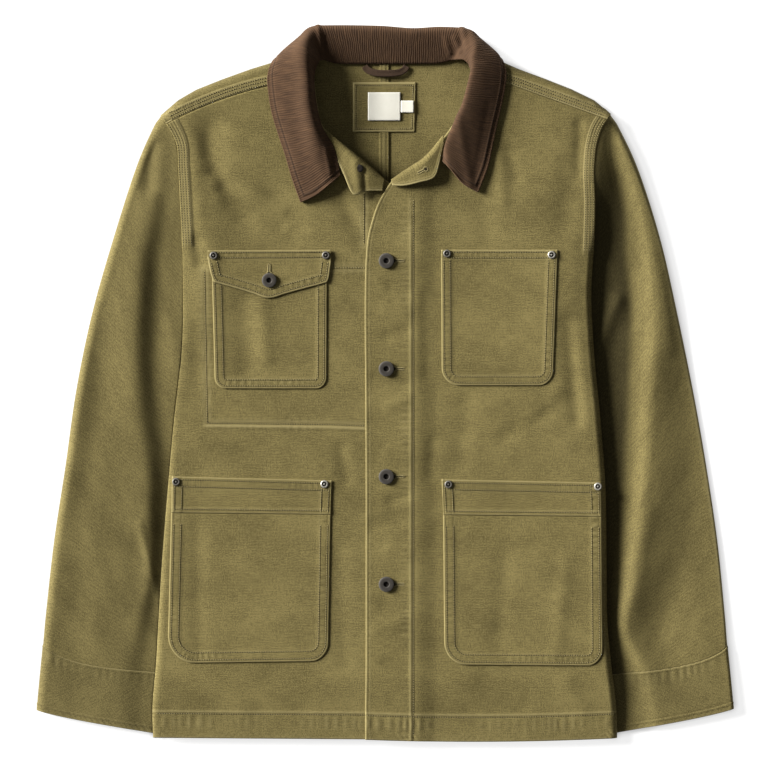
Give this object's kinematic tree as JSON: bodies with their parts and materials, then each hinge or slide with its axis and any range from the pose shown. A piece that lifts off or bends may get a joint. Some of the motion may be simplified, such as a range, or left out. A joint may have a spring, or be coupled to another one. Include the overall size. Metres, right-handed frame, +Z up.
{
  "type": "barn jacket",
  "caption": "Canvas barn jacket with a corduroy collar and patch pockets, lying flat and buttoned with its neck corners turned out.",
  "frame": {"origin": "on the surface the jacket lies on, under the middle of its outline", "axes": "+Z up out of the surface, +Y from the hem to the collar, +X towards the wearer's left sleeve"},
  "size_m": [0.7512, 0.7703, 0.0325],
  "materials": {
    "olive_canvas": "washed cotton canvas, plain weave with fine slubs",
    "brown_corduroy": "fine-wale corduroy pile",
    "brown_tape": "twill tape",
    "white_label": "bare woven label",
    "gunmetal": "dark satin metal",
    "aged_steel": "aged satin steel"
  },
  "bodies": {
    "root": {"back_right": "olive_canvas", "back_left": "olive_canvas", "front_right": "olive_canvas", "front_left": "olive_canvas", "sleeve_right": "olive_canvas", "sleeve_left": "olive_canvas", "cuff_right": "olive_canvas", "cuff_left": "olive_canvas", "collar_top": "brown_corduroy", "collar_under": "olive_canvas", "facing_right": "olive_canvas", "facing_left": "olive_canvas", "chest_pocket_right": "olive_canvas", "chest_pocket_flap": "olive_canvas", "chest_pocket_left": "olive_canvas", "lower_pocket_right": "olive_canvas", "lower_pocket_band_right": "olive_canvas", "lower_pocket_left": "olive_canvas", "lower_pocket_band_left": "olive_canvas", "inside_pocket": "olive_canvas", "label_patch": "olive_canvas", "label": "white_label", "size_tab": "white_label", "hanger_loop": "brown_tape", "button_1": "gunmetal", "button_2": "gunmetal", "button_3": "gunmetal", "button_4": "gunmetal", "button_5": "gunmetal", "flap_button": "gunmetal", "button_1_back": "aged_steel", "rivet_flap_outer": "aged_steel", "rivet_flap_inner": "aged_steel", "rivet_chest_inner": "aged_steel", "rivet_chest_outer": "aged_steel", "rivet_lower_right_outer": "aged_steel", "rivet_lower_right_inner": "aged_steel", "rivet_lower_left_inner": "aged_steel", "rivet_lower_left_outer": "aged_steel"}
  },
  "joints": []
}
